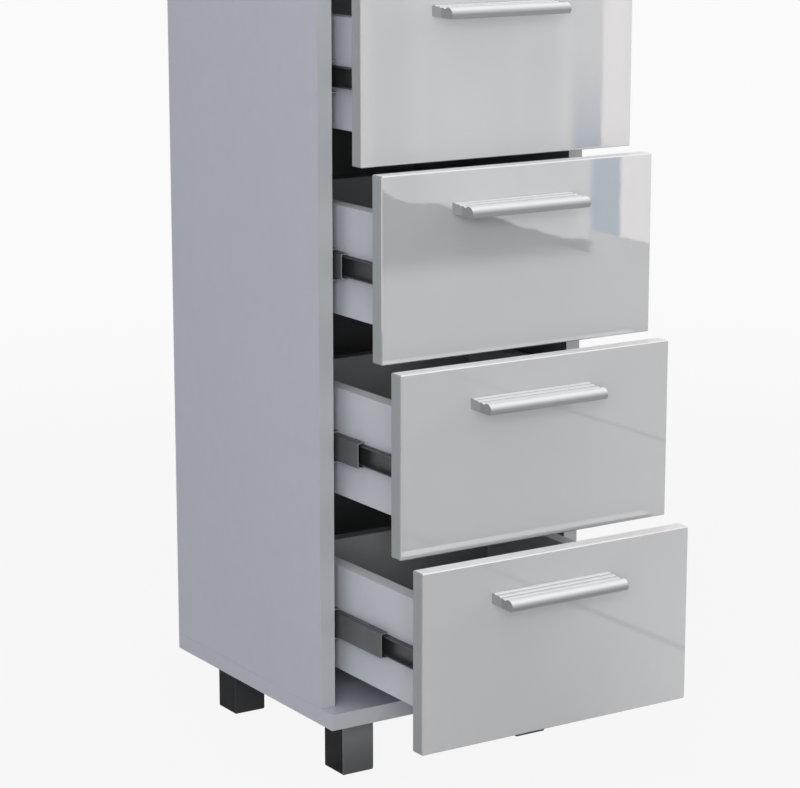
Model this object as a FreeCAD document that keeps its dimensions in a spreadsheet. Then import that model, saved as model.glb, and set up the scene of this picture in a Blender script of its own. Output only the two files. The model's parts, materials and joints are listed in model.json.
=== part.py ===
import FreeCAD, Part
import itertools
import math
import os
import re
import Sketcher

# A narrow bathroom drawer cabinet: white board carcass on square legs, with four drawers that run
# on telescopic ball slides and stand open by different amounts, as the rest position.
# Millimetres, +Z up, front towards -Y. The origin is on the floor, in the middle of the whole part.

SIZES = {
    # Carcass boards
    "cabinet_width": 300,
    "carcass_depth": 308,
    "board": 16,
    "back_board": 3,
    "back_inset": 8,
    "back_groove": 6,
    "board_fit": 0.3,
    "dowel_diameter": 8,
    "dowel_in_side": 20,
    "dowel_cover": 6,
    "dowel_inset": 45,
    "dowel_fit": 0.1,
    # Legs
    "leg_height": 60,
    "leg_width": 35,
    "leg_inset": 30,
    "leg_edge": 1,
    "leg_bolt_diameter": 8,
    "leg_bolt_in_leg": 18,
    "leg_bolt_cover": 4,
    "leg_bolt_fit": 0.1,
    # Drawer fronts
    "front_board": 16,
    "front_height": 170,
    "front_gap": 3.5,
    "front_reveal": 7,
    "front_recess": 3,
    "front_edge": 0.8,
    "closing_gap": 2,
    # Drawer boxes
    "drawer_board": 15,
    "drawer_rear_gap": 8,
    "drawer_side_rise": 24.7,
    "drawer_side_drop": 42.5,
    "drawer_floor": 3,
    "floor_rise": 10,
    "floor_groove": 6,
    # How far each drawer stands open at rest, from the top down
    "pull_1": 58,
    "pull_2": 92,
    "pull_3": 123,
    "pull_4": 159,
    # Handles
    "handle_length": 130,
    "handle_depth": 33,
    "handle_back_height": 9.5,
    "handle_belly": 5.5,
    "handle_front_drop": 1,
    "handle_nose_crown": 3.7,
    "handle_chin": 2.5,
    "handle_chin_crown": 0.6,
    "handle_reed_pitch": 7,
    "handle_reed_fall": 0.75,
    "handle_reed_crown": 0.9,
    "handle_drop": 34,
    "handle_shift": -10,
    "handle_screw_inset": 17,
    "screw_diameter": 4,
    "screw_head_diameter": 8,
    "screw_head_height": 2.4,
    "screw_in_handle": 10,
    "screw_fit": 0.15,
    # Slides
    "rail_rise": 73.5,
    "rail_sheet": 1.2,
    "drawer_rail_height": 19,
    "rail_setback": 4,
    "rail_rear_gap": 22,
    "drawer_rail_setback": 3,
    "middle_rail_shortfall": 40,
    "rail_bend": 0.7,
    "race_gap": 1.5,
    "race_depth": 0.6,
    "race_edge": 0.5,
    "race_land": 0.6,
    "race_rim": 1.2,
    "web_gap": 1.4,
    "tip_gap": 1.1,
    "ball_fit": 0.15,
    "cage_sheet": 0.5,
    "cage_length": 70,
    "cage_rim": 0.1,
    "cage_margin": 6,
    "ball_margin": 8,
    # How far each drawer's middle rails lie behind the carcass side's front edge when it is shut
    "lag_1": 44,
    "lag_2": 36,
    "lag_3": 23.5,
    "lag_4": 1.5,
}

DRAWER_COUNT = 4
DRAWERS = range(1, DRAWER_COUNT + 1)

# Sizes and places that follow from the driving ones
LAYOUT = {
    # Carcass
    "half_width": "cabinet_width / 2",
    "inner_half": "half_width - board",
    "front_pitch": "front_height + front_gap",
    "side_height": f"2 * front_reveal + {DRAWER_COUNT} * front_pitch - front_gap",
    "panel_overhang": "front_recess + front_board + closing_gap",
    "rear_y": f"(carcass_depth - front_recess + pull_{DRAWER_COUNT} + handle_depth) / 2",
    "panel_front_y": "rear_y - carcass_depth",
    "side_front_y": "panel_front_y + panel_overhang",
    "side_depth": "carcass_depth - panel_overhang",
    "side_z": "leg_height + board",
    "top_z": "side_z + side_height",
    "back_y": "rear_y - back_inset - back_board",
    "groove_half": "inner_half + back_groove",
    "dowel_x": "half_width - board / 2",
    "dowel_in_panel": "board - dowel_cover",
    "leg_bolt_in_panel": "board - leg_bolt_cover",
    "leg_centre_x": "half_width - leg_inset - leg_width / 2",
    "leg_front_y": "panel_front_y + leg_inset + leg_width / 2",
    "leg_rear_y": "rear_y - leg_inset - leg_width / 2",
    # Drawer, measured from the middle of its front's lower edge, on the front's inner face
    "lowest_front_z": "side_z + front_reveal",
    "closed_y": "side_front_y - closing_gap",
    "drawer_length": "back_y - closed_y - drawer_rear_gap",
    "box_half": "inner_half - slide_space",
    "box_inner_half": "box_half - drawer_board",
    "floor_z": "drawer_side_rise + floor_rise",
    "floor_groove_height": "drawer_floor + board_fit",
    "floor_half": "box_inner_half + floor_groove",
    "side_top": "front_height - drawer_side_drop",
    # Handle
    "handle_rise": "front_height - handle_drop",
    "handle_back": "handle_back_height / 2",
    "handle_screw_reach": "handle_length / 2 - handle_screw_inset",
    # Slide section, depth from the carcass side and height from the rail's middle
    "drawer_rail_half": "drawer_rail_height / 2",
    "middle_inner_half": "drawer_rail_half + race_gap",
    "middle_rail_half": "middle_inner_half + rail_sheet",
    "cabinet_inner_half": "middle_rail_half + race_gap",
    "cabinet_rail_half": "cabinet_inner_half + rail_sheet",
    "ball_diameter": "race_gap + 2 * race_depth - 2 * ball_fit",
    "race_mouth_half": "ball_diameter / 2",
    "race_floor_half": "race_mouth_half - race_depth",
    "middle_web": "rail_sheet + web_gap",
    "outer_race": "middle_web + rail_bend + race_edge + race_mouth_half",
    "inner_race": "outer_race + ball_diameter + race_land",
    "cabinet_flange": "outer_race + race_mouth_half + race_rim",
    "middle_flange": "inner_race + race_mouth_half + race_rim",
    "drawer_flange": "inner_race - race_mouth_half - race_rim",
    "slide_space": "middle_flange + tip_gap + rail_sheet",
    "outer_ball_height": "(middle_rail_half + cabinet_inner_half) / 2",
    "inner_ball_height": "(drawer_rail_half + middle_inner_half) / 2",
    "outer_cage_web": "rail_sheet + (web_gap - cage_sheet) / 2",
    "inner_cage_web": "(middle_web + rail_sheet + drawer_flange - cage_sheet) / 2",
    "cage_lip": "ball_diameter / 2 + cage_rim",
    "rail_length": "back_y - side_front_y - rail_setback - rail_rear_gap",
    "middle_rail_length": "rail_length - middle_rail_shortfall",
}

# Hidden dowels and bolts, and their bores, are eight-sided instead of round
HIDDEN_FACES = 8
# Rounded ribs along a handle's top
REEDS = 3

doc = FreeCAD.newDocument("DrawerCabinet")


def make_sheet():
    """Write the driving sizes to the spreadsheet, one named cell each."""
    sheet = doc.addObject("Spreadsheet::Sheet", "Sizes")
    for row, (name, value) in enumerate(SIZES.items(), start=1):
        sheet.set(f"A{row}", name)
        sheet.set(f"B{row}", str(value))
        sheet.setAlias(f"B{row}", name)
    doc.recompute()
    return sheet


SHEET = make_sheet()


def formula(text):
    """Spell a formula of size names out as an expression on the spreadsheet's cells."""
    def spell(match):
        word = match.group()
        return f"({formula(LAYOUT[word])})" if word in LAYOUT else f"Sizes.{word}"
    return re.sub(r"[a-z]\w*", spell, str(text))


def value(text):
    """Work a formula out as a number."""
    return float(SHEET.evalExpression(formula(text)))


def bind(thing, **formulas):
    """Tie properties of a document object to formulas."""
    for name, text in formulas.items():
        thing.setExpression(name, formula(text))


def place(thing, x=0, y=0, z=0):
    """Tie an object's position to formulas."""
    for axis, text in (("x", x), ("y", y), ("z", z)):
        thing.setExpression(f"Placement.Base.{axis}", formula(text))
    return thing


def box(name, size, corner):
    """A block of the given size, with its lowest corner at the given place."""
    block = doc.addObject("Part::Box", name)
    bind(block, Length=size[0], Width=size[1], Height=size[2])
    return place(block, *corner)


def rod(name, diameter, length, foot, direction):
    """A round rod that starts at its foot and runs along a direction."""
    cylinder = doc.addObject("Part::Cylinder", name)
    cylinder.Placement.Rotation = FreeCAD.Rotation(FreeCAD.Vector(0, 0, 1), direction)
    bind(cylinder, Radius=f"({diameter}) / 2", Height=length)
    return place(cylinder, *foot)


def hidden_rod(name, diameter, length, foot):
    """An upright rod with few faces, for what nobody sees."""
    prism = doc.addObject("Part::Prism", name)
    prism.Polygon = HIDDEN_FACES
    bind(prism, Circumradius=f"({diameter}) / 2", Height=length)
    return place(prism, *foot)


def group(name, members, **position):
    """Members kept together as separate solids, at a place of their own."""
    compound = doc.addObject("Part::Compound", name)
    compound.Links = members
    return place(compound, **position)


def fuse(name, members):
    """Members joined to one solid."""
    union = doc.addObject("Part::MultiFuse", name)
    union.Shapes = members
    return union


def cut(name, base, tools):
    """A base with the tools taken out of it."""
    result = doc.addObject("Part::Cut", name)
    result.Base = base
    result.Tool = tools[0] if len(tools) == 1 else fuse(f"{name}_tools", tools)
    return result


def mirror(name, source):
    """The same piece for the cabinet's other side."""
    twin = doc.addObject("Part::Mirroring", name)
    twin.Source = source
    twin.Normal = FreeCAD.Vector(1, 0, 0)
    return twin


def new_body(name):
    return doc.addObject("PartDesign::Body", name)


def new_sketch(body, name, role):
    """An empty sketch on one of the body's own origin planes."""
    sketch = body.newObject("Sketcher::SketchObject", name)
    plane = next(item for item in body.Origin.OriginFeatures if item.Role == role)
    sketch.AttachmentSupport = [(plane, "")]
    sketch.MapMode = "FlatFace"
    return sketch


def tie(sketch, kind, text, *where):
    """Add a dimension to a sketch and bind it to a formula."""
    index = sketch.addConstraint(Sketcher.Constraint(kind, *where, value(text)))
    sketch.setExpression(f"Constraints[{index}]", formula(text))


def arc_between(start, end, radius):
    """The shorter arc of a radius from one point to another, turning left on its way."""
    chord = end - start
    left = FreeCAD.Vector(-chord.y, chord.x, 0).normalize()
    centre = (start + end) / 2 + left * math.sqrt(radius ** 2 - (chord.Length / 2) ** 2)
    angles = [math.atan2(point.y - centre.y, point.x - centre.x) for point in (start, end)]
    circle = Part.Circle(centre, FreeCAD.Vector(0, 0, 1), radius)
    return Part.ArcOfCircle(circle, *angles)


def crowned(start, end, crown):
    """Radius of an arc whose middle lies a crown's height off the line between its ends."""
    across, up = (f"({last}) - ({first})" for first, last in zip(start, end))
    return f"(({across}) ^ 2 + ({up}) ^ 2) / (8 * {crown}) + {crown} / 2"


def draw_outline(sketch, corners, arcs=None):
    """Draw a closed outline through corners; arcs maps the number of a bent side to its radius."""
    arcs = arcs or {}
    points = [FreeCAD.Vector(value(across), value(up), 0) for across, up in corners]
    count = len(points)
    for side, start in enumerate(points):
        end = points[(side + 1) % count]
        if side in arcs:
            sketch.addGeometry(arc_between(start, end, value(arcs[side])))
        else:
            sketch.addGeometry(Part.LineSegment(start, end))
    for side in range(count):
        sketch.addConstraint(Sketcher.Constraint("Coincident", side, 2, (side + 1) % count, 1))
    for side, (across, up) in enumerate(corners):
        tie(sketch, "DistanceX", across, -1, 1, side, 1)
        tie(sketch, "DistanceY", up, -1, 1, side, 1)
    for side, radius in arcs.items():
        tie(sketch, "Radius", radius, side)


def pad(body, sketch, length, **options):
    """Grow a sketch into a solid."""
    feature = body.newObject("PartDesign::Pad", f"{sketch.Name}_pad")
    feature.Profile = sketch
    for option, setting in options.items():
        setattr(feature, option, setting)
    bind(feature, Length=length)
    doc.recompute()
    return feature


def pocket(body, sketch, length, **options):
    """Cut a sketch's shape out of the body, and make sure that it took material away."""
    before = body.Shape.Volume
    feature = body.newObject("PartDesign::Pocket", f"{sketch.Name}_pocket")
    feature.Profile = sketch
    for option, setting in options.items():
        setattr(feature, option, setting)
    bind(feature, Length=length)
    doc.recompute()
    if not body.Shape.Volume < before:
        raise RuntimeError(f"{sketch.Name} cuts nothing")
    return feature


def rectangle(low, high):
    return [(low[0], low[1]), (high[0], low[1]), (high[0], high[1]), (low[0], high[1])]


def negative(text):
    return f"0 - ({text})"


NODES = {}


def node(label, piece):
    """Name a finished sub-part."""
    piece.Label = label
    NODES[label] = piece
    return piece


def dowel_places():
    """Middle lines of the dowels in one carcass side: the front one and the rear one."""
    return ("side_front_y + dowel_inset", "rear_y - dowel_inset")


def make_carcass_sides():
    """Left and right boards, grooved for the back and bored at both ends for dowels."""
    size = ("board", "side_depth", "side_height")
    blank = box("side_blank", size, (negative("half_width"), "side_front_y", "side_z"))
    groove = box(
        "side_groove",
        ("back_groove", "back_board + board_fit", "side_height"),
        (negative("groove_half"), "back_y - board_fit", "side_z"),
    )
    depth = "dowel_in_side + board_fit"
    bores = [
        hidden_rod(f"side_bore_{number}", "dowel_diameter + 2 * dowel_fit", depth,
                   (negative("dowel_x"), y, z))
        for number, (y, z) in enumerate(
            itertools.product(dowel_places(), ("side_z", f"top_z - ({depth})")))
    ]
    left = node("side_panel_left", cut("side_left", blank, [groove, *bores]))
    node("side_panel_right", mirror("side_right", left))


def panel_tools(name, groove_z, bore_z):
    """Groove for the back and dowel bores of a top or bottom board."""
    groove = box(
        f"{name}_groove",
        ("2 * groove_half", "back_board + board_fit", "back_groove"),
        (negative("groove_half"), "back_y - board_fit", groove_z),
    )
    bores = [
        hidden_rod(f"{name}_bore_{number}", "dowel_diameter + 2 * dowel_fit",
                   "dowel_in_panel + board_fit", (x, y, bore_z))
        for number, (x, y) in enumerate(
            itertools.product((negative("dowel_x"), "dowel_x"), dowel_places()))
    ]
    return [groove, *bores]


def leg_places():
    """Leg names with the middle of each leg."""
    rows = {"front": "leg_front_y", "rear": "leg_rear_y"}
    columns = {"left": negative("leg_centre_x"), "right": "leg_centre_x"}
    for (row, y), (column, x) in itertools.product(rows.items(), columns.items()):
        yield f"{row}_{column}", x, y


def make_top_and_bottom():
    """Boards that reach past the sides to cover the drawer fronts' edges."""
    size = ("cabinet_width", "carcass_depth", "board")
    corner = (negative("half_width"), "panel_front_y")
    top = box("top_blank", size, (*corner, "top_z"))
    node("top_panel", cut("top", top, panel_tools("top", "top_z", "top_z")))
    bottom = box("bottom_blank", size, (*corner, "leg_height"))
    tools = panel_tools("bottom", "side_z - back_groove", "side_z - dowel_in_panel - board_fit")
    tools += [
        hidden_rod(f"bottom_bolt_bore_{name}", "leg_bolt_diameter + 2 * leg_bolt_fit",
                   "leg_bolt_in_panel + board_fit", (x, y, "leg_height"))
        for name, x, y in leg_places()
    ]
    node("bottom_panel", cut("bottom", bottom, tools))


def make_back():
    """Thin board that stands in the grooves of the four outer boards."""
    half = "groove_half - board_fit"
    size = (f"2 * ({half})", "back_board", "side_height + 2 * (back_groove - board_fit)")
    corner = (negative(half), "back_y", "side_z - back_groove + board_fit")
    node("back_panel", box("back", size, corner))


def make_dowels():
    """Two dowels at each corner of the carcass."""
    length = "dowel_in_side + dowel_in_panel"
    ends = ("side_z - dowel_in_panel", "top_z - dowel_in_side")
    columns = (negative("dowel_x"), "dowel_x")
    dowels = [
        hidden_rod(f"dowel_{number}", "dowel_diameter", length, foot)
        for number, foot in enumerate(itertools.product(columns, dowel_places(), ends))
    ]
    node("carcass_dowels", group("dowels", dowels))


def make_legs():
    """Square legs with eased edges, each held by a bolt that runs up into the bottom board."""
    body = new_body("Leg")
    outline = new_sketch(body, "leg_outline", "XY_Plane")
    half = "leg_width / 2"
    draw_outline(outline, rectangle((negative(half), negative(half)), (half, half)))
    post = pad(body, outline, "leg_height")
    low_edges = [
        f"Edge{number}" for number, edge in enumerate(post.Shape.Edges, start=1)
        if edge.BoundBox.ZMin < value("leg_height") / 2
    ]
    eased = body.newObject("PartDesign::Chamfer", "leg_edges")
    eased.Base = (post, low_edges)
    bind(eased, Size="leg_edge")
    doc.recompute()
    depth = "leg_bolt_in_leg + board_fit"
    bore = hidden_rod("leg_bore", "leg_bolt_diameter + 2 * leg_bolt_fit", depth,
                      (0, 0, f"leg_height - ({depth})"))
    leg = cut("leg", body, [bore])
    bolt = hidden_rod("leg_bolt", "leg_bolt_diameter", "leg_bolt_in_leg + leg_bolt_in_panel",
                      (0, 0, "leg_height - leg_bolt_in_leg"))
    bolts = []
    for name, x, y in leg_places():
        node(f"leg_{name}", group(f"leg_at_{name}", [leg], x=x, y=y))
        bolts.append(group(f"bolt_at_{name}", [bolt], x=x, y=y))
    node("leg_bolts", group("bolts", bolts))


def race(depth, level, outward):
    """Corners of a ball race in a flange's face, in the order of growing depth."""
    floor = f"{level} {'+' if outward else '-'} race_depth"
    return [
        (f"{depth} - race_mouth_half", level),
        (f"{depth} - race_floor_half", floor),
        (f"{depth} + race_floor_half", floor),
        (f"{depth} + race_mouth_half", level),
    ]


def channel(name, upper, length):
    """A channel whose section is an upper half and its mirror image, run back from its front end."""
    body = new_body(name)
    sketch = new_sketch(body, f"{name}_section", "XZ_Plane")
    lower = [(across, negative(up)) for across, up in reversed(upper)]
    draw_outline(sketch, upper + lower)
    pad(body, sketch, length, Reversed=True)
    return body


def cabinet_rail():
    """Outermost rail: opens towards the drawer, with races inside its flanges."""
    upper = [
        ("rail_sheet", "cabinet_inner_half"),
        *race("outer_race", "cabinet_inner_half", outward=True),
        ("cabinet_flange", "cabinet_inner_half"),
        ("cabinet_flange", "cabinet_rail_half"),
        ("rail_bend", "cabinet_rail_half"),
        ("0", "cabinet_rail_half - rail_bend"),
    ]
    return channel("cabinet_rail", upper, "rail_length")


def middle_rail():
    """Middle rail: races outside for the cabinet rail's balls and inside for the drawer rail's."""
    upper = [
        ("middle_web + rail_sheet", "middle_inner_half"),
        *race("inner_race", "middle_inner_half", outward=True),
        ("middle_flange", "middle_inner_half"),
        ("middle_flange", "middle_rail_half"),
        *reversed(race("outer_race", "middle_rail_half", outward=False)),
        ("middle_web + rail_bend", "middle_rail_half"),
        ("middle_web", "middle_rail_half - rail_bend"),
    ]
    return channel("middle_rail", upper, "middle_rail_length")


def drawer_rail():
    """Innermost rail: lies on the drawer's side and opens outwards, with races on its outside."""
    upper = [
        ("slide_space - rail_sheet", "drawer_rail_half - rail_sheet"),
        ("drawer_flange", "drawer_rail_half - rail_sheet"),
        ("drawer_flange", "drawer_rail_half"),
        *race("inner_race", "drawer_rail_half", outward=False),
        ("slide_space - rail_bend", "drawer_rail_half"),
        ("slide_space", "drawer_rail_half - rail_bend"),
    ]
    return channel("drawer_rail", upper, "rail_length")


def make_ball():
    """A bearing ball, kept to the twenty faces whose corners lie on the ball's surface."""
    golden = (1 + math.sqrt(5)) / 2
    corners = []
    for near, far in itertools.product((-1, 1), (-golden, golden)):
        corners += [FreeCAD.Vector(*p) for p in ((0, near, far), (near, far, 0), (far, 0, near))]
    scale = value("ball_diameter") / 2 / corners[0].Length
    corners = [corner * scale for corner in corners]
    edge = 2 * scale
    faces = [
        Part.Face(Part.makePolygon([*trio, trio[0]]))
        for trio in itertools.combinations(corners, 3)
        if all(abs((a - b).Length - edge) < edge / 10 for a, b in itertools.combinations(trio, 2))
    ]
    ball = doc.addObject("Part::Feature", "ball")
    ball.Shape = Part.Solid(Part.makeShell(faces))
    return ball


def ball_cage(name, ball, web, depth, height):
    """A bent strip that holds four balls in their races: two above and two below."""
    upper = [
        (f"{web} + cage_sheet", f"{height} - cage_sheet / 2"),
        (f"{depth} + cage_lip", f"{height} - cage_sheet / 2"),
        (f"{depth} + cage_lip", f"{height} + cage_sheet / 2"),
        (web, f"{height} + cage_sheet / 2"),
    ]
    strip = channel(f"{name}_strip", upper, "cage_length")
    rows = ("ball_margin", "cage_length - ball_margin")
    balls = [
        group(f"{name}_ball_{number}", [ball], x=depth, y=along, z=level)
        for number, (along, level) in enumerate(
            itertools.product(rows, (height, negative(height))))
    ]
    return fuse(name, [strip, *balls])


def drawer_z(drawer):
    """Lower edge of a drawer's front."""
    return f"lowest_front_z + {DRAWER_COUNT - drawer} * front_pitch"


def drawer_y(drawer):
    """Inner face of a drawer's front, as far out as the drawer stands open."""
    return f"closed_y - pull_{drawer}"


def make_cabinet_rails():
    """One rail per drawer on each carcass side."""
    master = cabinet_rail()
    rails = [
        group(f"cabinet_rail_{drawer}", [master], x=negative("inner_half"),
              y="side_front_y + rail_setback", z=f"{drawer_z(drawer)} + rail_rise")
        for drawer in DRAWERS
    ]
    left = node("cabinet_rails_left", group("rails_left", rails))
    node("cabinet_rails_right", mirror("rails_right", left))


def slide_pair(label, master, drawer, y):
    """A slide piece on a drawer's left side and its twin on the right."""
    left = group(f"{label}_left", [master], x=negative("inner_half"), y=y,
                 z=f"{drawer_z(drawer)} + rail_rise")
    right = mirror(f"{label}_right", left)
    node(label, group(f"{label}_pair", [left, right]))


def make_slides():
    """Moving rails and ball cages of every drawer, where the drawer's opening brings them."""
    middle = middle_rail()
    inner = drawer_rail()
    ball = make_ball()
    outer_cage = ball_cage("outer_cage", ball, "outer_cage_web", "outer_race", "outer_ball_height")
    inner_cage = ball_cage("inner_cage", ball, "inner_cage_web", "inner_race", "inner_ball_height")
    # A drawer travels a rail's length. Fully out, the outer cage is near the cabinet rail's front end
    # and the inner cage near the drawer rail's rear end.
    outer_stop = "side_front_y + rail_setback + cage_margin"
    inner_stop = "closed_y + drawer_rail_setback - cage_margin - cage_length"
    for drawer in DRAWERS:
        left_to_go = f"(rail_length - pull_{drawer})"
        name = f"drawer_{drawer}"
        slide_pair(f"{name}_middle_rails", middle, drawer,
                   f"side_front_y + lag_{drawer} - pull_{drawer} / 2")
        slide_pair(f"{name}_rails", inner, drawer, f"{drawer_y(drawer)} + drawer_rail_setback")
        slide_pair(f"{name}_outer_cages", outer_cage, drawer, f"{outer_stop} + {left_to_go} / 4")
        slide_pair(f"{name}_inner_cages", inner_cage, drawer,
                   f"{inner_stop} + 3 * {left_to_go} / 4")


def handle_screw_places():
    """Middle lines of a handle's two screws."""
    return ("handle_shift - handle_screw_reach", "handle_shift + handle_screw_reach")


def make_front():
    """Drawer front with eased edges, a groove for the drawer floor and the handle's screw holes."""
    body = new_body("Front")
    sketch = new_sketch(body, "front_outline", "XZ_Plane")
    draw_outline(sketch, rectangle((negative("half_width"), "0"), ("half_width", "front_height")))
    blank = pad(body, sketch, "front_board")
    eased = body.newObject("PartDesign::Chamfer", "front_edges")
    eased.Base = (blank, [f"Edge{number + 1}" for number in range(len(blank.Shape.Edges))])
    bind(eased, Size="front_edge")
    doc.recompute()
    groove = new_sketch(body, "front_groove", "XZ_Plane")
    top = "floor_z + floor_groove_height"
    draw_outline(groove, rectangle((negative("floor_half"), "floor_z"), ("floor_half", top)))
    pocket(body, groove, "floor_groove", Reversed=True)
    holes = [
        rod(f"front_hole_{number}", "screw_diameter + 2 * screw_fit", "front_board",
            (x, 0, "handle_rise"), FreeCAD.Vector(0, -1, 0))
        for number, x in enumerate(handle_screw_places())
    ]
    return cut("front", body, holes)


def make_drawer_side():
    """Left side of a drawer box, grooved inside for the drawer floor."""
    size = ("drawer_board", "drawer_length", "side_top - drawer_side_rise")
    blank = box("box_side_blank", size, (negative("box_half"), 0, "drawer_side_rise"))
    groove = box("box_side_groove", ("floor_groove", "drawer_length", "floor_groove_height"),
                 (negative("floor_half"), 0, "floor_z"))
    return cut("box_side", blank, [groove])


def make_drawer_back():
    """Rear board of a drawer box, standing on the drawer floor between the sides."""
    foot = "floor_z + drawer_floor"
    return box("box_back", ("2 * box_inner_half", "drawer_board", f"side_top - ({foot})"),
               (negative("box_inner_half"), "drawer_length - drawer_board", foot))


def make_drawer_floor():
    """Thin board in the grooves of the front and the sides, and under the back."""
    half = "floor_half - board_fit"
    into_front = "floor_groove - board_fit"
    return box("box_floor", (f"2 * ({half})", f"drawer_length + {into_front}", "drawer_floor"),
               (negative(half), negative(into_front), "floor_z"))


def make_handle():
    """Extruded bar handle: reeds that step down along its top, a round nose and a flat underside."""
    body = new_body("Handle")
    section = new_sketch(body, "handle_section", "YZ_Plane")
    back = negative("front_board")
    valleys = [
        (f"{back} - {number} * handle_reed_pitch",
         f"handle_rise + handle_back - {number} * handle_reed_fall")
        for number in range(REEDS + 1)
    ]
    front = (f"{back} - handle_depth", "handle_rise - handle_front_drop")
    chin = (f"{back} - handle_depth + handle_chin", "handle_rise - handle_belly")
    corners = [(back, "handle_rise - handle_back"), *valleys, front, chin]
    crowns = ["handle_reed_crown"] * REEDS + ["handle_nose_crown", "handle_chin_crown"]
    arcs = {
        side: crowned(corners[side], corners[side + 1], crown)
        for side, crown in enumerate(crowns, start=1)
    }
    draw_outline(section, corners, arcs)
    pad(body, section, "handle_length")
    bores = [
        rod(f"handle_bore_{number}", "screw_diameter + 2 * screw_fit", "screw_in_handle + board_fit",
            (f"{x} - handle_shift + handle_length / 2", back, "handle_rise"),
            FreeCAD.Vector(0, -1, 0))
        for number, x in enumerate(handle_screw_places())
    ]
    return cut("handle", body, bores)


def make_handle_screws():
    """Two screws from inside the drawer, through the front and into the handle."""
    screws = []
    for number, x in enumerate(handle_screw_places()):
        foot = (x, 0, "handle_rise")
        head = rod(f"screw_head_{number}", "screw_head_diameter", "screw_head_height", foot,
                   FreeCAD.Vector(0, 1, 0))
        shank = rod(f"screw_shank_{number}", "screw_diameter", "front_board + screw_in_handle", foot,
                    FreeCAD.Vector(0, -1, 0))
        screws.append(fuse(f"screw_{number}", [head, shank]))
    return group("screws", screws)


def make_drawers():
    """Four equal drawers, each set as far out as it stands open."""
    side = make_drawer_side()
    pieces = {
        "front": make_front(),
        "side_left": side,
        "side_right": mirror("box_side_twin", side),
        "back": make_drawer_back(),
        "floor": make_drawer_floor(),
        "handle_screws": make_handle_screws(),
    }
    handle = make_handle()
    for drawer in DRAWERS:
        name = f"drawer_{drawer}"
        position = {"y": drawer_y(drawer), "z": drawer_z(drawer)}
        for piece, master in pieces.items():
            node(f"{name}_{piece}", group(f"{name}_{piece}", [master], **position))
        node(f"{name}_handle", group(f"{name}_handle", [handle],
                                     x="handle_shift - handle_length / 2", **position))


def check_document():
    """Stop if any object failed or any sub-part isn't a sound solid."""
    for thing in doc.Objects:
        if "Invalid" in thing.State or "Error" in thing.State:
            raise RuntimeError(f"{thing.Label} failed: {thing.State}")
    for label, piece in NODES.items():
        if piece.Shape.isNull() or not piece.Shape.isValid() or not piece.Shape.Solids:
            raise RuntimeError(f"{label} is not a valid solid")


def write_parts():
    os.makedirs("parts", exist_ok=True)
    for label, piece in NODES.items():
        piece.Shape.exportStep(f"parts/{label}.step")


make_carcass_sides()
make_top_and_bottom()
make_back()
make_dowels()
make_legs()
make_cabinet_rails()
make_slides()
make_drawers()
doc.recompute()
check_document()
write_parts()
print(f"{len(NODES)} sub-parts written")
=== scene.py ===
import json
import math

import bmesh
import bpy
from mathutils import Matrix, Vector


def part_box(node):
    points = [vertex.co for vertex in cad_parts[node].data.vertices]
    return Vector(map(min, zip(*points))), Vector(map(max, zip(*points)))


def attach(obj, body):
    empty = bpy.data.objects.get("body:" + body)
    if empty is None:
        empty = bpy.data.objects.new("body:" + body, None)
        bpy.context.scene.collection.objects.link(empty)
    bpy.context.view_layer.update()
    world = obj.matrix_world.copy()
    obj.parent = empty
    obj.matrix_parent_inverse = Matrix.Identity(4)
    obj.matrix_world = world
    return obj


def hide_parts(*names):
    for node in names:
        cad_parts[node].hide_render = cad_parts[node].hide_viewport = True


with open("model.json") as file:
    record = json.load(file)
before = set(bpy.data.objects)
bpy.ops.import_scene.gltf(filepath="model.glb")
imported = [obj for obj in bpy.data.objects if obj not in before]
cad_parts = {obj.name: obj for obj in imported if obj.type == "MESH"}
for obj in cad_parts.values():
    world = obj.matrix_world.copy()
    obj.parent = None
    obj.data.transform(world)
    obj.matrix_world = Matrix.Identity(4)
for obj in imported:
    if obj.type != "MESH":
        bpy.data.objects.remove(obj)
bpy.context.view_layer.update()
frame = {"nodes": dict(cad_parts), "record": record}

NODES = frame["nodes"]
DRAWERS = range(1, 5)
MM = 0.001
X, Y, Z = range(3)
SQUARE = ((-1, -1), (1, -1), (1, 1), (-1, 1))


# Colours

def colour(red, green, blue):
    """A colour as it shows on a screen, 0 to 255, as the linear RGBA that sockets take."""
    def linear(level):
        level /= 255
        return level / 12.92 if level <= 0.04045 else ((level + 0.055) / 1.055) ** 2.4
    return (linear(red), linear(green), linear(blue), 1)


WHITE_GLOSS = colour(203, 204, 207)
# Grey on the fronts' ends and backs: painted shade
GLOSS_EDGE_SHADE = colour(138, 143, 147)
# Pale on the fronts' tops: painted light
GLOSS_TOP_LIT = colour(228, 228, 229)
WHITE_SATIN = colour(175, 179, 190)
SATIN_EDGING = colour(175, 179, 183)
# Pale on the right side panel's front edging: painted light
PAINTED_LIGHT_EDGING = colour(226, 228, 231)
WHITE_FOIL = colour(189, 193, 202)
# Pale edging; on the drawer sides' tops also painted light
FOIL_EDGING_AND_PAINTED_LIGHT = colour(208, 210, 213)
# Dark on the faces inside the carcass and on the drawers' floors: painted shade
PAINTED_SHADE_FOIL = colour(112, 113, 116)
# Grey on the drawers' backs where they look forwards or upwards: painted shade
PAINTED_SHADE_GREY_FOIL = colour(138, 140, 143)
# Pale on the drawer sides' inner faces and front ends: painted light
PAINTED_LIGHT_LINING = colour(195, 196, 198)
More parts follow.
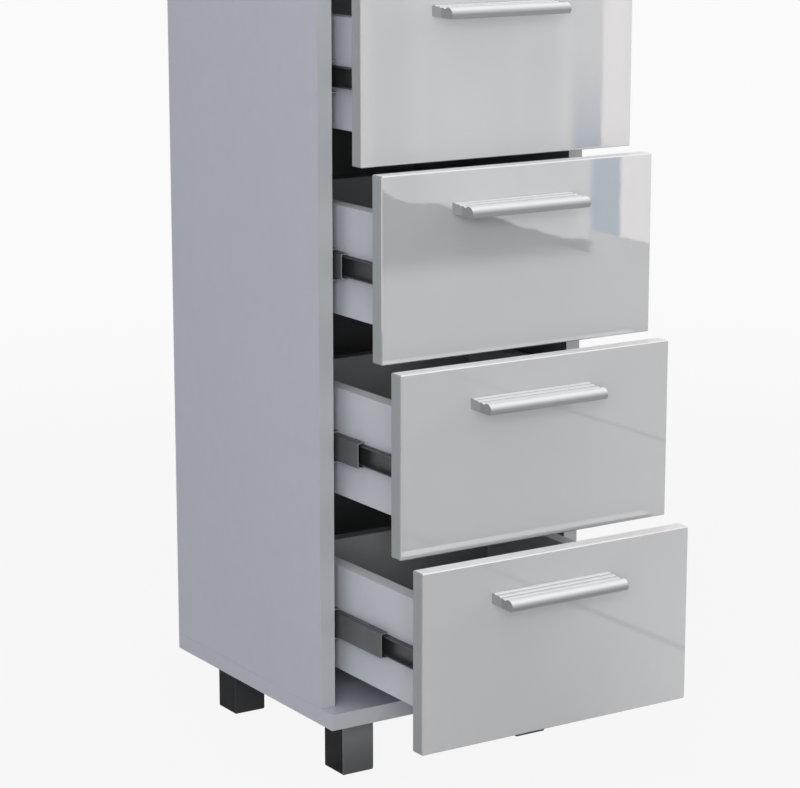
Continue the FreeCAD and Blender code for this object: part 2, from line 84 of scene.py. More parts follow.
# Handles: paler on upward faces, greyer on the others and in the grooves: painted light and shade
ALUMINIUM_LIT_TOP = colour(240, 241, 243)
ALUMINIUM_SHADED_SIDE = colour(170, 172, 175)
ALUMINIUM_GROOVE_SHADE = colour(172, 174, 176)
ALUMINIUM_MARK = colour(150, 152, 155)
SAWN_REAR = colour(164, 166, 168)
SAWN_NOSE = colour(146, 148, 150)
SAWN_MARK = colour(110, 112, 115)
ANTHRACITE = colour(76, 78, 82)
# Darker steel on the drawer rails, deeper in the slides: painted shade
RAIL_SHADE_STEEL = colour(58, 60, 63)
ZINC = colour(150, 152, 155)
BRIGHT_ZINC = colour(190, 192, 196)
# Legs: darkest on the sides, paler on the front and back and towards the top, darker on the rear
# legs: painted light and shade
LEG_SIDE_SHADE = colour(18, 20, 24)
LEG_FOOT_LIT = colour(90, 92, 95)
LEG_HEAD_LIT = colour(124, 126, 129)
LEG_REAR_SHADE = colour(58, 60, 63)
BEECH_DARK = colour(196, 156, 112)
BEECH_PALE = colour(222, 188, 146)
BEECH_FLECK = colour(150, 108, 70)


# Node trees

# Sockets of a Mix node that serve colours
MIX_SHARE, MIX_FIRST, MIX_SECOND = 0, 6, 7
MIX_RESULT = 2
# Values that soft noise mostly takes
NOISE_SPAN = (0.3, 0.7)
# Least part of a face's direction that counts as facing along an axis
FACING = 0.5
# Distance from the cabinet's middle, in metres, beyond which a face can look inwards
INNER_REACH = 0.05


class Nodes:
    """Short ways to build a node tree."""

    def __init__(self, tree):
        self.tree = tree

    def put(self, socket, value):
        """Set a socket to a value, or link another node's output to it."""
        if isinstance(value, bpy.types.NodeSocket):
            self.tree.links.new(value, socket)
        else:
            socket.default_value = value

    def add(self, kind, inputs=None, **settings):
        """A new node with its settings and inputs."""
        node = self.tree.nodes.new(kind)
        for name, setting in settings.items():
            setattr(node, name, setting)
        for name, value in (inputs or {}).items():
            self.put(node.inputs[name], value)
        return node

    def reckon(self, operation, *values):
        """A Math node."""
        return self.add("ShaderNodeMath", dict(enumerate(values)), operation=operation).outputs[0]

    def axes(self, vector):
        """The three parts of a vector."""
        return self.add("ShaderNodeSeparateXYZ", {0: vector}).outputs

    def ramp(self, value, span, levels, smooth=True):
        """Levels that a value runs through as it crosses a span."""
        inputs = {"Value": value, "From Min": span[0], "From Max": span[1],
                  "To Min": levels[0], "To Max": levels[1]}
        kind = "SMOOTHSTEP" if smooth else "LINEAR"
        return self.add("ShaderNodeMapRange", inputs, interpolation_type=kind).outputs[0]

    def blend(self, share, first, second):
        """The first colour, turning into the second as share goes from 0 to 1."""
        inputs = {MIX_SHARE: share, MIX_FIRST: first, MIX_SECOND: second}
        return self.add("ShaderNodeMix", inputs, data_type="RGBA").outputs[MIX_RESULT]

    def noise_at(self, place, per_metre, detail, stretch):
        """Soft noise, drawn out along the axes that stretch makes small."""
        spread = self.add("ShaderNodeMapping", {"Vector": place, "Scale": stretch})
        inputs = {"Vector": spread.outputs[0], "Scale": per_metre, "Detail": detail}
        return self.add("ShaderNodeTexNoise", inputs).outputs[0]


class Finish(Nodes):
    """A procedural material: one Principled shader and the nodes that feed it."""

    def __init__(self, name, values=None):
        self.material = bpy.data.materials.new(name)
        self.material.use_nodes = True
        super().__init__(self.material.node_tree)
        self.shader = self.tree.nodes["Principled BSDF"]
        self.feed(values or {})
        where = self.add("ShaderNodeTexCoord").outputs
        self.position = where["Object"]
        self.at = self.axes(where["Object"])
        self.facing = self.axes(where["Normal"])

    def feed(self, values):
        """Put values or links into the shader."""
        for name, value in values.items():
            self.put(self.shader.inputs[name], value)

    def share(self):
        """How far along the piece's own box a point lies, 0 to 1 on each axis."""
        return self.axes(self.add("ShaderNodeTexCoord").outputs["Generated"])

    def noise(self, per_metre, detail=2, stretch=(1, 1, 1)):
        """Soft noise over the piece."""
        return self.noise_at(self.position, per_metre, detail, stretch)

    def between(self, noise, low, high):
        """Noise brought to a range of values."""
        return self.ramp(noise, NOISE_SPAN, (low, high), smooth=False)

    def mottled(self, noise, tint, spread):
        """A colour that wavers by a share of itself with the noise."""
        dark, light = (
            (*(level * (1 + side * spread) for level in tint[:3]), 1)
            for side in (-1, 1)
        )
        return self.blend(self.between(noise, 0, 1), dark, light)

    def relief(self, noise, depth, strength=1):
        """Bumps of a depth in metres."""
        inputs = {"Height": noise, "Distance": depth, "Strength": strength}
        return self.add("ShaderNodeBump", inputs).outputs[0]

    def turned(self, axis, sign):
        """1 where the surface faces along an axis."""
        along = self.reckon("MULTIPLY", self.facing[axis], sign)
        return self.reckon("GREATER_THAN", along, FACING)

    def turned_either_way(self, axis):
        """1 where the surface faces along an axis, forwards or backwards."""
        return self.reckon("MAXIMUM", self.turned(axis, 1), self.turned(axis, -1))

    def inside(self):
        """1 on board faces that look towards the cabinet's middle from its left and right."""
        outward = self.reckon("MULTIPLY", self.facing[X], self.at[X])
        return self.reckon("LESS_THAN", outward, -INNER_REACH)


# Materials

# Shares of the handle's depth, 33 mm, counted from its back
HANDLE_REED = 7 / 33
# Half-width of the painted shade along each groove
HANDLE_GROOVE = 0.2 * HANDLE_REED
HANDLE_WAIST = (0.42, 0.48)
HANDLE_NOSE = (0.64, 0.68)
# How far upwards the handle's faces look as they turn from the side tint to the top one, painted
# shade to painted light
HANDLE_UPWARD = (0.25, 0.9)
# Height over which the legs' front and back faces grow paler: painted light
LEG_HEIGHT = 60 * MM
# Places along the cabinet's depth between its front and rear legs, in metres, over which the rear
# legs' painted shade sets in
BETWEEN_LEGS = (0.05, 0.15)


def front_lacquer():
    """High-gloss lacquer on the face, plain edging round it, grey on the ends and the back, painted
    shade, and pale on top, painted light.
    """
    finish = Finish("front_lacquer", {"Roughness": 0.3, "Coat Roughness": 0.01, "Coat IOR": 4})
    # The ends and the back take a grey tint, painted shade, and the top a pale one, painted light
    plain = finish.reckon("MAXIMUM", finish.turned_either_way(X), finish.turned(Y, 1))
    face = finish.mottled(finish.noise(per_metre=9), WHITE_GLOSS, spread=0.012)
    face_and_lit_top = finish.blend(finish.turned(Z, 1), face, GLOSS_TOP_LIT)
    streaks = finish.noise(per_metre=400, stretch=(1, 1, 0.2))
    shaded_edge = finish.mottled(streaks, GLOSS_EDGE_SHADE, spread=0.03)
    peel = finish.noise(per_metre=180, detail=1)
    finish.feed({
        "Base Color": finish.blend(plain, face_and_lit_top, shaded_edge),
        "Coat Weight": finish.turned(Y, -1),
        "Coat Normal": finish.relief(peel, depth=0.003 * MM),
    })
    return finish.material


def foil(name, tints, painted_inner_faces, edging, roughness):
    """Foil or melamine on board: fine pearl relief, another tint on the edging, and a painted tint
    on the inner faces.

    painted_inner_faces and edging give 1 where the surface has the painted inner tint or the
    edging's tint.
    """
    tint, painted_inner_tint, edge_tint_and_painted_light = tints
    finish = Finish(name)
    clouds = finish.noise(per_metre=60, detail=4)
    pale = finish.mottled(clouds, tint, spread=0.015)
    # The inner tint is painted shade in the carcass and on the drawers' backs and floors, painted
    # light on the drawer sides
    dark = finish.mottled(clouds, painted_inner_tint, spread=0.05)
    outer = finish.blend(edging(finish), pale, edge_tint_and_painted_light)
    smears = finish.noise(per_metre=22, detail=3)
    pearl = finish.noise(per_metre=900, detail=1)
    finish.feed({
        "Base Color": finish.blend(painted_inner_faces(finish), outer, dark),
        "Roughness": finish.between(smears, roughness - 0.04, roughness + 0.05),
        "Normal": finish.relief(pearl, depth=0.02 * MM, strength=0.6),
    })
    return finish.material


def front_and_top(finish):
    """1 on faces that look forwards or upwards."""
    return finish.reckon("MAXIMUM", finish.turned(Y, -1), finish.turned(Z, 1))


def carcass_board(name="carcass_board", edge_tint_and_painted_light=SATIN_EDGING):
    """Satin board with edging along its front in the given tint, which on the right side panel is
    painted light; the side panels' inner faces are dark, painted shade.
    """
    def edging(finish):
        return finish.turned(Y, -1)

    tints = (WHITE_SATIN, PAINTED_SHADE_FOIL, edge_tint_and_painted_light)
    return foil(name, tints, Finish.inside, edging, roughness=0.36)


def drawer_board():
    """Foil on a drawer's sides; a paler, greyer tint on the inner face and the front end, painted
    light, and paler edging on top, partly painted light.
    """
    def painted_inner_faces(finish):
        return finish.reckon("MAXIMUM", finish.inside(), finish.turned(Y, -1))

    # The tops take the paler edging tint, partly painted light
    def edging(finish):
        return finish.turned(Z, 1)

    tints = (WHITE_FOIL, PAINTED_LIGHT_LINING, FOIL_EDGING_AND_PAINTED_LIGHT)
    return foil("drawer_board", tints, painted_inner_faces, edging, roughness=0.45)


def drawer_back_board():
    """Foil on a drawer's back, grey where it looks forwards or upwards, painted shade, and edging
    below.
    """
    def edging(finish):
        return finish.turned(Z, -1)

    tints = (WHITE_FOIL, PAINTED_SHADE_GREY_FOIL, FOIL_EDGING_AND_PAINTED_LIGHT)
    return foil("drawer_back_board", tints, front_and_top, edging, roughness=0.45)


def thin_board():
    """Foil on the cabinet's back and the drawers' floors, dark on the side that shows inside,
    painted shade.
    """
    def edging(finish):
        return finish.turned(X, 1)

    tints = (WHITE_FOIL, PAINTED_SHADE_FOIL, FOIL_EDGING_AND_PAINTED_LIGHT)
    return foil("thin_board", tints, front_and_top, edging, roughness=0.5)


def handle_aluminium():
    """Satin aluminium with drawing marks along the bar and dull sawn ends; the faces that look up
    are paler, painted light, the others and the grooves greyer, painted shade.
    """
    finish = Finish("handle_aluminium", {"Metallic": 0.5, "Anisotropic": 0.3})
    from_back = finish.reckon("SUBTRACT", 1, finish.share()[Y])
    off_groove = finish.reckon("PINGPONG", from_back, HANDLE_REED / 2)
    before_nose = finish.ramp(from_back, HANDLE_NOSE, (1, 0))
    reeded = finish.reckon("MULTIPLY", finish.turned(Z, 1), before_nose)
    shade = finish.reckon("MULTIPLY", finish.ramp(off_groove, (HANDLE_GROOVE, 0), (0, 1)), reeded)
    upward = finish.ramp(finish.facing[Z], HANDLE_UPWARD, (0, 1))
    lit_and_shaded_satin = finish.blend(upward, ALUMINIUM_SHADED_SIDE, ALUMINIUM_LIT_TOP)
    groove_shaded = finish.blend(shade, lit_and_shaded_satin, ALUMINIUM_GROOVE_SHADE)
    marks = finish.noise(per_metre=1800, stretch=(0.012, 1, 1))
    drawn = finish.blend(finish.between(marks, 0, 0.06), groove_shaded, ALUMINIUM_MARK)
    to_nose = finish.ramp(from_back, HANDLE_WAIST, (0, 1))
    halves = finish.blend(to_nose, SAWN_REAR, SAWN_NOSE)
    scores = finish.noise(per_metre=1500, stretch=(1, 1, 0.1))
    sawn = finish.blend(finish.between(scores, 0, 0.12), halves, SAWN_MARK)
    finish.feed({
        "Base Color": finish.blend(finish.turned_either_way(X), drawn, sawn),
        "Roughness": finish.between(marks, 0.32, 0.38),
        "Normal": finish.relief(marks, depth=0.012 * MM, strength=0.5),
    })
    return finish.material


def rail_steel(name="rail_steel", tint=ANTHRACITE):
    """Dark coated steel with rolling marks along the rail and paler cut ends."""
    finish = Finish(name, {"Metallic": 0.4})
    marks = finish.noise(per_metre=700, detail=3, stretch=(1, 0.02, 1))
    blotches = finish.noise(per_metre=45, detail=3)
    coated = finish.mottled(blotches, tint, spread=0.12)
    cut_end = finish.mottled(marks, ZINC, spread=0.08)
    finish.feed({
        "Base Color": finish.blend(finish.turned(Y, -1), coated, cut_end),
        "Roughness": finish.between(marks, 0.3, 0.45),
        "Normal": finish.relief(marks, depth=0.02 * MM, strength=0.4),
    })
    return finish.material


def cage_steel():
    """Bright strip steel with a trace of grease."""
    finish = Finish("cage_steel", {"Metallic": 1})
    marks = finish.noise(per_metre=900, stretch=(1, 0.03, 1))
    finish.feed({
        "Base Color": finish.mottled(finish.noise(per_metre=120), ZINC, spread=0.08),
        "Roughness": finish.between(marks, 0.18, 0.4),
        "Normal": finish.relief(marks, depth=0.01 * MM, strength=0.4),
    })
    return finish.material


def leg_plastic():
    """Dark moulded plastic with a fine grain; the side faces darkest, painted shade; the front and
    back faces paler and growing paler towards the top, painted light, and darker on the rear legs,
    painted shade.
    """
    finish = Finish("leg_plastic", {"Specular IOR Level": 0.06})
    blotches = finish.noise(per_metre=70, detail=3)
    grain = finish.noise(per_metre=1500)
    rise = finish.ramp(finish.at[Z], (0, LEG_HEIGHT), (0, 1))
    shade_to_rear = finish.ramp(finish.at[Y], BETWEEN_LEGS, (0, 1))
    lit_broad_faces = finish.blend(shade_to_rear, finish.blend(rise, LEG_FOOT_LIT, LEG_HEAD_LIT), LEG_REAR_SHADE)
    shaded_narrow_faces = finish.mottled(blotches, LEG_SIDE_SHADE, spread=0.08)
    finish.feed({
        "Base Color": finish.blend(finish.turned_either_way(Y), shaded_narrow_faces, lit_broad_faces),
        "Roughness": finish.between(blotches, 0.38, 0.48),
        "Normal": finish.relief(grain, depth=0.015 * MM, strength=0.5),
    })
    return finish.material


def fastener_steel():
    """Zinc-plated steel, slightly blotched."""
    finish = Finish("fastener_steel", {"Metallic": 1})
    blotches = finish.noise(per_metre=500, detail=3)
    grain = finish.noise(per_metre=2500)
    finish.feed({
        "Base Color": finish.mottled(blotches, BRIGHT_ZINC, spread=0.08),
        "Roughness": finish.between(blotches, 0.22, 0.38),
        "Normal": finish.relief(grain, depth=0.006 * MM, strength=0.5),
    })
    return finish.material


def dowel_wood():
    """Pale beech with grain and short flecks along the dowel."""
    finish = Finish("dowel_wood")
    grain = finish.noise(per_metre=1200, detail=3, stretch=(1, 1, 0.04))
    flecks = finish.noise(per_metre=2200, stretch=(1, 1, 0.2))
    tone = finish.blend(finish.between(grain, 0, 1), BEECH_DARK, BEECH_PALE)
    finish.feed({
        "Base Color": finish.blend(finish.between(flecks, 0, 0.3), tone, BEECH_FLECK),
        "Roughness": finish.between(grain, 0.5, 0.65),
        "Normal": finish.relief(grain, depth=0.05 * MM, strength=0.5),
    })
    return finish.material


FINISHES = {
    make.__name__: make()
    for make in (front_lacquer, carcass_board, drawer_board, drawer_back_board, thin_board,
                 handle_aluminium, rail_steel, cage_steel, leg_plastic, fastener_steel, dowel_wood)
}


def dress_nodes():
    """Give every node the finish of its material slot, save for a few with one of their own."""
    finishes = {
        part["node"]: FINISHES[part["material_slot"]]
        for part in frame["record"]["subparts"]
    }
    # The drawer rails take a darker copy of the rail steel: painted shade
    darker = rail_steel("drawer_rail_steel_painted_shade", RAIL_SHADE_STEEL)
    finishes.update((f"drawer_{drawer}_rails", darker) for drawer in DRAWERS)
    finishes.update((f"drawer_{drawer}_back", FINISHES["drawer_back_board"]) for drawer in DRAWERS)
    # The right side panel's front edging is pale: painted light where it lies in shade between the
    # fronts
    finishes["side_panel_right"] = carcass_board("right_carcass_board_painted_light", PAINTED_LIGHT_EDGING)
    for name, finish in finishes.items():
        for slot in NODES[name].material_slots:
            slot.material = finish
    # The lacquer would mirror the handles as bright bars
    for drawer in DRAWERS:
        NODES[f"drawer_{drawer}_handle"].visible_glossy = False


# Edges of the boards

EASED_BOARDS = ("side_panel_left", "side_panel_right", "top_panel", "bottom_panel")
EASED_WIDTH = 0.3 * MM
EASED_SEGMENTS = 2
SHARP_FROM = math.radians(40)
JOIN_REACH = 0.01 * MM


def ease_edges(node):
    """Round a board's edges by a hair, so that they catch the light."""
    weld = node.modifiers.new("join", "WELD")
    weld.merge_threshold = JOIN_REACH
    bevel = node.modifiers.new("eased", "BEVEL")
    bevel.width = EASED_WIDTH
    bevel.segments = EASED_SEGMENTS
    bevel.limit_method = "ANGLE"
    bevel.angle_limit = SHARP_FROM
    bevel.harden_normals = True


# Screws

# Radius and height of a head, radius and length of a shank
HANDLE_SCREW_HEAD = (4 * MM, 2.4 * MM)
HANDLE_SCREW_SHANK = (2 * MM, 26 * MM)
RAIL_SCREW_HEAD = (3 * MM, 1.1 * MM)
RAIL_SCREW_SHANK = (1.5 * MM, 10 * MM)
# Distances from the drawer rail's front end, and the rail's sheet
RAIL_SCREWS_AT = (100 * MM, 228 * MM)
RAIL_SHEET = 1.2 * MM
SCREW_SIDES = 24
DOME_STEPS = 6
# Shares of the head's height
RIM_HEIGHT = 0.45
RECESS_DEPTH = 0.6
# Shares of the head's radius: the dome's curve, its flat crown, and half the length and half the
# width of the cross at its lower and upper ends
DOME_CURVE = 0.5
CROWN_FLAT = 0.3
CROSS_LOWER = (0.25, 0.12)
CROSS_UPPER = (0.85, 0.2)


def lathe(mesh, profile, sides):
    """Turn a profile of (radius, height) points, from the axis to the axis, about Z."""
    rings = []
    for radius, height in profile:
        if radius == 0:
            rings.append([mesh.verts.new((0, 0, height))])
        else:
            angles = (2 * math.pi * number / sides for number in range(sides))
            rings.append([
                mesh.verts.new((radius * math.cos(angle), radius * math.sin(angle), height))
                for angle in angles
            ])
    for lower, upper in zip(rings, rings[1:]):
        for number in range(sides):
            following = (number + 1) % sides
            corners = [
                lower[number % len(lower)], lower[following % len(lower)],
                upper[following % len(upper)], upper[number % len(upper)],
            ]
            mesh.faces.new(dict.fromkeys(corners))


def new_object(name, mesh):
    """An object of the scene, from a mesh under construction, with its faces turned outwards."""
    data = bpy.data.meshes.new(name)
    bmesh.ops.recalc_face_normals(mesh, faces=mesh.faces)
    mesh.to_mesh(data)
    mesh.free()
    thing = bpy.data.objects.new(name, data)
    bpy.context.scene.collection.objects.link(thing)
    return thing


def cross_cutter(radius, top, depth):
    """A tapered cross that cuts a screw's recess."""
    mesh = bmesh.new()
    for turn in (0, math.pi / 2):
        turned = Matrix.Rotation(turn, 4, "Z")
        lower, upper = (
            [
                mesh.verts.new(turned @ Vector((x * length * radius, y * width * radius, height)))
                for x, y in SQUARE
            ]
            for height, (length, width) in ((top - depth, CROSS_LOWER), (top + depth, CROSS_UPPER))
        )
        mesh.faces.new(lower)
        mesh.faces.new(upper)
        for here, there in ((0, 1), (1, 2), (2, 3), (3, 0)):
            mesh.faces.new((lower[here], lower[there], upper[there], upper[here]))
    return new_object("recess", mesh)


def screw_mesh(name, head_radius, head_height, shank_radius, shank_length):
    """A pan-head screw with a cross recess, its head's seat at height 0 and its shank downwards."""
    mesh = bmesh.new()
    rim = RIM_HEIGHT * head_height
    profile = [
        (0, -shank_length), (shank_radius, -shank_length), (shank_radius, 0),
        (head_radius, 0), (head_radius, rim),
    ]
    for step in range(1, DOME_STEPS):
        angle = math.pi / 2 * step / DOME_STEPS
        profile.append((head_radius * (1 - DOME_CURVE + DOME_CURVE * math.cos(angle)),
                        rim + (head_height - rim) * math.sin(angle)))
    profile += [(CROWN_FLAT * head_radius, head_height), (0, head_height)]
    lathe(mesh, profile, SCREW_SIDES)
    screw = new_object(name, mesh)
    cutter = cross_cutter(head_radius, head_height, RECESS_DEPTH * head_height)
    recess = screw.modifiers.new("recess", "BOOLEAN")
    recess.operation = "DIFFERENCE"
    recess.solver = "EXACT"
    recess.use_self = True
    recess.object = cutter
    bpy.context.view_layer.update()
    depsgraph = bpy.context.evaluated_depsgraph_get()
    carved = bpy.data.meshes.new_from_object(screw.evaluated_get(depsgraph))
    for spare in (screw, cutter):
        bpy.data.objects.remove(spare)
    return carved


def gather(name, master, transforms):
    """Copies of a screw's mesh at several places, as one object."""
    mesh = bmesh.new()
    for transform in transforms:
        first = len(mesh.verts)
        mesh.from_mesh(master)
        mesh.verts.ensure_lookup_table()
        bmesh.ops.transform(mesh, matrix=transform, verts=mesh.verts[first:])
    thing = new_object(name, mesh)
    thing.data.materials.append(FINISHES["fastener_steel"])
    return thing


def add_handle_screws():
    """Cross-head screws in place of the plain ones that hold the handles."""
    master = screw_mesh("handle_screw", *HANDLE_SCREW_HEAD, *HANDLE_SCREW_SHANK)
    head_radius, head_height = HANDLE_SCREW_HEAD
    facing_back = Matrix.Rotation(math.radians(-90), 4, "X")
    for drawer in DRAWERS:
        node = f"drawer_{drawer}_handle_screws"
        low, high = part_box(node)
        seat = high.y - head_height
        level = (low.z + high.z) / 2
        places = [
            Matrix.Translation((x, seat, level)) @ facing_back
            for x in (low.x + head_radius, high.x - head_radius)
        ]
        screws = gather(f"drawer_{drawer}_cross_screws", master, places)
        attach(screws, f"drawer_{drawer}")
        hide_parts(node)


def add_rail_screws():
    """Screws that hold the drawer rails to the drawer sides, inside the rails' channels."""
    master = screw_mesh("rail_screw", *RAIL_SCREW_HEAD, *RAIL_SCREW_SHANK)
    for drawer in DRAWERS:
        low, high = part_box(f"drawer_{drawer}_rails")
        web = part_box(f"drawer_{drawer}_side_right")[1].x + RAIL_SHEET
        level = (low.z + high.z) / 2
        places = [
            Matrix.Translation((side * web, low.y + along, level))
            @ Matrix.Rotation(side * math.radians(90), 4, "Y")
            for side in (-1, 1) for along in RAIL_SCREWS_AT
        ]
        screws = gather(f"drawer_{drawer}_rail_screws", master, places)
        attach(screws, f"drawer_{drawer}")


# Stage and world

WHITE_TINT = (1, 1, 1, 1)
# Strength at which the background shows, and the world's light on the object
BACKGROUND_GLOW = 0.955
WORLD_LIGHT = 0.26
FLOOR_HALF = 9.0
FLOOR_TINT = (0.5, 0.5, 0.5, 1)
FLOOR_ROUGHNESS = 0.9
# Share of the background in the floor, and the distances over which it grows
FLOOR_GLOW = (0.95, 1.0)
FLOOR_FADE = (0.9, 2.6)


def sheet(name, corners, material):
    """A flat four-cornered piece of the stage."""
    mesh = bmesh.new()
    mesh.faces.new([mesh.verts.new(corner) for corner in corners])
    thing = new_object(name, mesh)
    thing.data.materials.append(material)
    return thing


def seen_or_mirrored(nodes):
    """1 for rays from the camera and for those that a glossy or clear surface sends on."""
    path = nodes.add("ShaderNodeLightPath").outputs
    mirrored = nodes.reckon("MAXIMUM", path["Is Glossy Ray"], path["Is Transmission Ray"])
    return nodes.reckon("MAXIMUM", path["Is Camera Ray"], mirrored)


def floor_material():
    """Pale matt floor that takes the shadow and turns into the white background farther off."""
    material = bpy.data.materials.new("floor")
    material.use_nodes = True
    nodes = Nodes(material.node_tree)
    matt = nodes.tree.nodes["Principled BSDF"]
    nodes.put(matt.inputs["Base Color"], FLOOR_TINT)
    nodes.put(matt.inputs["Roughness"], FLOOR_ROUGHNESS)
    nodes.put(matt.inputs["Specular IOR Level"], 0)
    place = nodes.add("ShaderNodeTexCoord").outputs["Object"]
    away = nodes.add("ShaderNodeVectorMath", {0: place}, operation="LENGTH").outputs["Value"]
    fade = nodes.ramp(away, FLOOR_FADE, FLOOR_GLOW)
    glow = nodes.add("ShaderNodeEmission", {"Strength": BACKGROUND_GLOW})
    share = nodes.reckon("MULTIPLY", seen_or_mirrored(nodes), fade)
    mix = nodes.add("ShaderNodeMixShader", {0: share, 1: matt.outputs[0], 2: glow.outputs[0]})
    nodes.put(nodes.tree.nodes["Material Output"].inputs["Surface"], mix.outputs[0])
    return material


def build_floor():
    """The wide floor that the cabinet stands on."""
    sheet("floor", [(x * FLOOR_HALF, y * FLOOR_HALF, 0) for x, y in SQUARE], floor_material())


def build_world():
    """White where it is seen or mirrored, and a plain soft light on everything else."""
    world = bpy.data.worlds.new("studio")
    bpy.context.scene.world = world
    world.use_nodes = True
    nodes = Nodes(world.node_tree)
    soft, plain = (
        nodes.add("ShaderNodeBackground", {"Color": WHITE_TINT, "Strength": strength}).outputs[0]
        for strength in (WORLD_LIGHT, BACKGROUND_GLOW)
    )
    mix = nodes.add("ShaderNodeMixShader", {0: seen_or_mirrored(nodes), 1: soft, 2: plain})
    nodes.put(nodes.tree.nodes["World Output"].inputs["Surface"], mix.outputs[0])


# The room that the lacquer mirrors, in metres and in strengths of its glow

ROOM_FRONT = -4.6
ROOM_HALF = 1.92
ROOM_HEIGHT = 2.6
ROOM_RISE = 2 * MM
# A span and the strengths at its two ends: sideways over forward distance, then forward places
FLOOR_SLANT = ((0.2, 1.0), (0.2, 0.47))
FLOOR_NEAR = ((-1.2, -0.6), (1.0, 1.25))
WALL_GLOW = ((-3.4, -2.6), (0.43, 0.58))
# The dark far corners of the floor, by forward and sideways place
CORNERS_FORWARD = (-2.8, -2.5)
CORNERS_SIDE = (0.8, 1.2)
# The floor's planks and their joints
PLANK = 0.6
JOINT_AT = 0.405
JOINT_SPAN = (0.002, 0.012)
JOINT_GLOW = 0.7
JOINTS_FADE = (-1.9, -1.7)
# The walls' upright streaks and their uneven lower hem
STREAKS = 0.12
STREAKS_PER_METRE = 6
STREAKS_STRETCH = (1, 1, 0.08)
HEM = (0.0, 0.008)
HEM_WAVER = 0.05
# The curtain and the window by forward place, and heights over which the curtain fades
CURTAIN_AT = (-2.635, -2.595)
CURTAIN_FADE = (0.15, 0.45)
CURTAIN_TINT = (0.25, 0.44, 0.62, 1)
WINDOW_AT = (-2.525, -2.505)
WINDOW_TINT = (1.75, 1.65, 1.6, 1)
SKIRTING = (0.046, 0.054)
SKIRTING_TINT = (0.74, 0.74, 0.74, 1)


def room_floor(nodes, place):
    """Strength and tint of a grey planked floor, paler to the sides, dark in the far corners."""
    at = nodes.axes(place)
    aside = nodes.reckon("ABSOLUTE", at[X])
    slant = nodes.reckon("DIVIDE", aside, nodes.reckon("ABSOLUTE", at[Y]))
    near = nodes.ramp(at[Y], *FLOOR_NEAR)
    open_floor = nodes.reckon("MULTIPLY", nodes.ramp(slant, *FLOOR_SLANT), near)
    middle = nodes.ramp(aside, CORNERS_SIDE, (1, 0))
    clear = nodes.reckon("MAXIMUM", nodes.ramp(at[Y], CORNERS_FORWARD, (0, 1)), middle)
    plain = nodes.reckon("MULTIPLY", open_floor, clear)
    across = nodes.reckon("PINGPONG", nodes.reckon("SUBTRACT", at[X], JOINT_AT), PLANK / 2)
    joint = nodes.ramp(across, JOINT_SPAN, (JOINT_GLOW, 1))
    near_joint = nodes.reckon("MAXIMUM", joint, nodes.ramp(at[Y], JOINTS_FADE, (1, 0)))
    return nodes.reckon("MULTIPLY", plain, near_joint), WHITE_TINT


def room_wall(nodes, place):
    """Strength and tint of a pale streaked wall with a curtain, a bright window and a skirting."""
    at = nodes.axes(place)
    noise = nodes.noise_at(place, STREAKS_PER_METRE, detail=1, stretch=STREAKS_STRETCH)
    streaks = nodes.ramp(noise, NOISE_SPAN, (1 - STREAKS, 1 + STREAKS))
    rise = nodes.reckon("SUBTRACT", at[Z], nodes.reckon("MULTIPLY", noise, HEM_WAVER))
    beyond = nodes.ramp(at[Y], CURTAIN_AT, (0, 1))
    above_hem = nodes.reckon("MAXIMUM", nodes.ramp(rise, HEM, (0, 1)), beyond)
    pale = nodes.reckon("MULTIPLY", streaks, above_hem)
    hung = nodes.reckon("MULTIPLY", beyond, nodes.ramp(at[Z], CURTAIN_FADE, (1, 0)))
    curtain = nodes.blend(hung, WHITE_TINT, CURTAIN_TINT)
    hangings = nodes.blend(nodes.ramp(at[Y], WINDOW_AT, (0, 1)), curtain, WINDOW_TINT)
    skirting = nodes.reckon("MULTIPLY", beyond, nodes.ramp(at[Z], SKIRTING, (1, 0)))
    tint = nodes.blend(skirting, hangings, SKIRTING_TINT)
    return nodes.reckon("MULTIPLY", pale, nodes.ramp(at[Y], *WALL_GLOW)), tint


def mirrored_card(name, corners, look):
    """A sheet of the room that shows in reflections and nowhere else."""
    material = bpy.data.materials.new(name)
    material.use_nodes = True
    nodes = Nodes(material.node_tree)
    strength, tint = look(nodes, nodes.add("ShaderNodeTexCoord").outputs["Object"])
    glow = nodes.add("ShaderNodeEmission", {"Color": tint, "Strength": strength})
    nodes.put(nodes.tree.nodes["Material Output"].inputs["Surface"], glow.outputs[0])
    card = sheet(name, corners, material)
    card.visible_camera = False
    card.visible_diffuse = False
    card.visible_transmission = False
    card.visible_volume_scatter = False
    card.visible_shadow = False


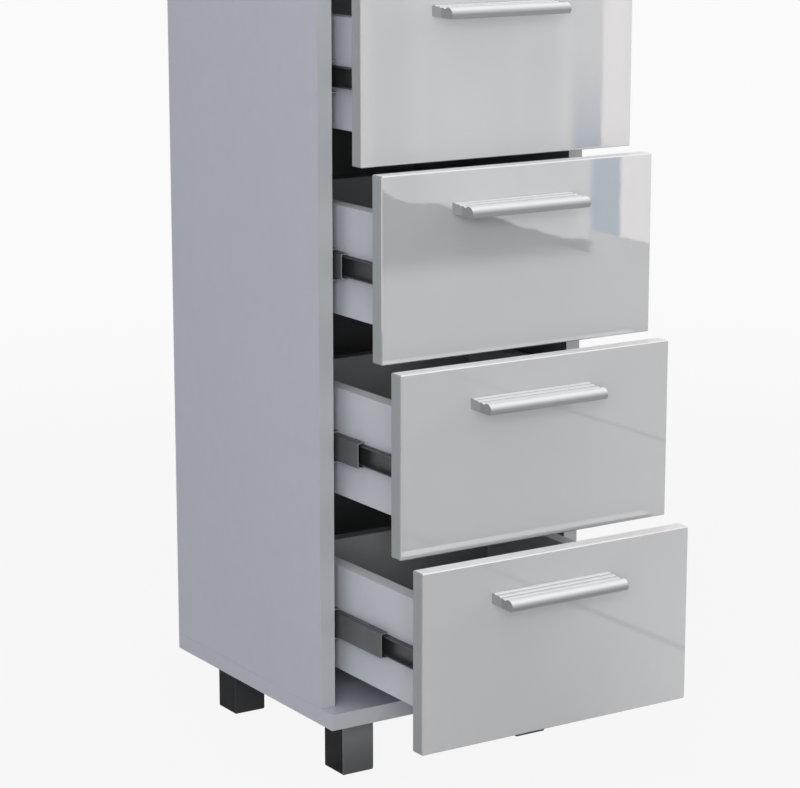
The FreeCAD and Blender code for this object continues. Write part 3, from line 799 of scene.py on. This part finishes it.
def build_room():
    """The room's floor in front of the cabinet, and walls on its left, front and right."""
    low, high = ROOM_RISE, ROOM_HEIGHT
    corners = [(-ROOM_HALF, 0), (-ROOM_HALF, ROOM_FRONT), (ROOM_HALF, ROOM_FRONT), (ROOM_HALF, 0)]
    mirrored_card("room_floor", [(*corner, low) for corner in corners], room_floor)
    for number, (start, end) in enumerate(zip(corners, corners[1:])):
        wall = [(*start, low), (*end, low), (*end, high), (*start, high)]
        mirrored_card(f"room_wall_{number}", wall, room_wall)


# Lamps and camera

LAMPS_AIM = (0, 0, 0.4)
# Place, size in metres and watts
LAMPS = {
    "left_lamp": ((-1.8, -2.6, 1.2), 1.6, 64),
    "right_lamp": ((2.6, -1.2, 1.9), 2.0, 24),
    "rear_lamp": ((0.8, 2.8, 1.8), 2.0, 24),
    "upper_lamp": ((-0.8, -0.5, 3.0), 2.0, 29),
}
CAMERA_PLACE = (-1.4066, -2.1403, 0.9235)
CAMERA_YAW = math.radians(32.641)
CAMERA_PITCH = math.radians(12.429)
CAMERA_LENS = 121.3
CAMERA_SENSOR = 36


def add_lamp(name, place, size, watts):
    """A square soft lamp that looks at the cabinet, and leaves no highlight of its own."""
    lamp = bpy.data.lights.new(name, "AREA")
    lamp.size = size
    lamp.energy = watts
    thing = bpy.data.objects.new(name, lamp)
    thing.location = place
    thing.rotation_euler = (Vector(LAMPS_AIM) - Vector(place)).to_track_quat("-Z", "Y").to_euler()
    thing.visible_glossy = False
    bpy.context.scene.collection.objects.link(thing)


def add_camera():
    """Camera at the photograph's viewing angle."""
    data = bpy.data.cameras.new("camera")
    data.lens = CAMERA_LENS
    data.sensor_width = CAMERA_SENSOR
    camera = bpy.data.objects.new("camera", data)
    camera.location = CAMERA_PLACE
    camera.rotation_euler = (math.pi / 2 - CAMERA_PITCH, 0, -CAMERA_YAW)
    bpy.context.scene.collection.objects.link(camera)
    bpy.context.scene.camera = camera


dress_nodes()
for board in EASED_BOARDS:
    ease_edges(NODES[board])
add_handle_screws()
add_rail_screws()
build_floor()
build_room()
build_world()
for lamp_name, (lamp_place, lamp_size, lamp_watts) in LAMPS.items():
    add_lamp(lamp_name, lamp_place, lamp_size, lamp_watts)
add_camera()
bpy.context.scene.view_settings.view_transform = "Standard"
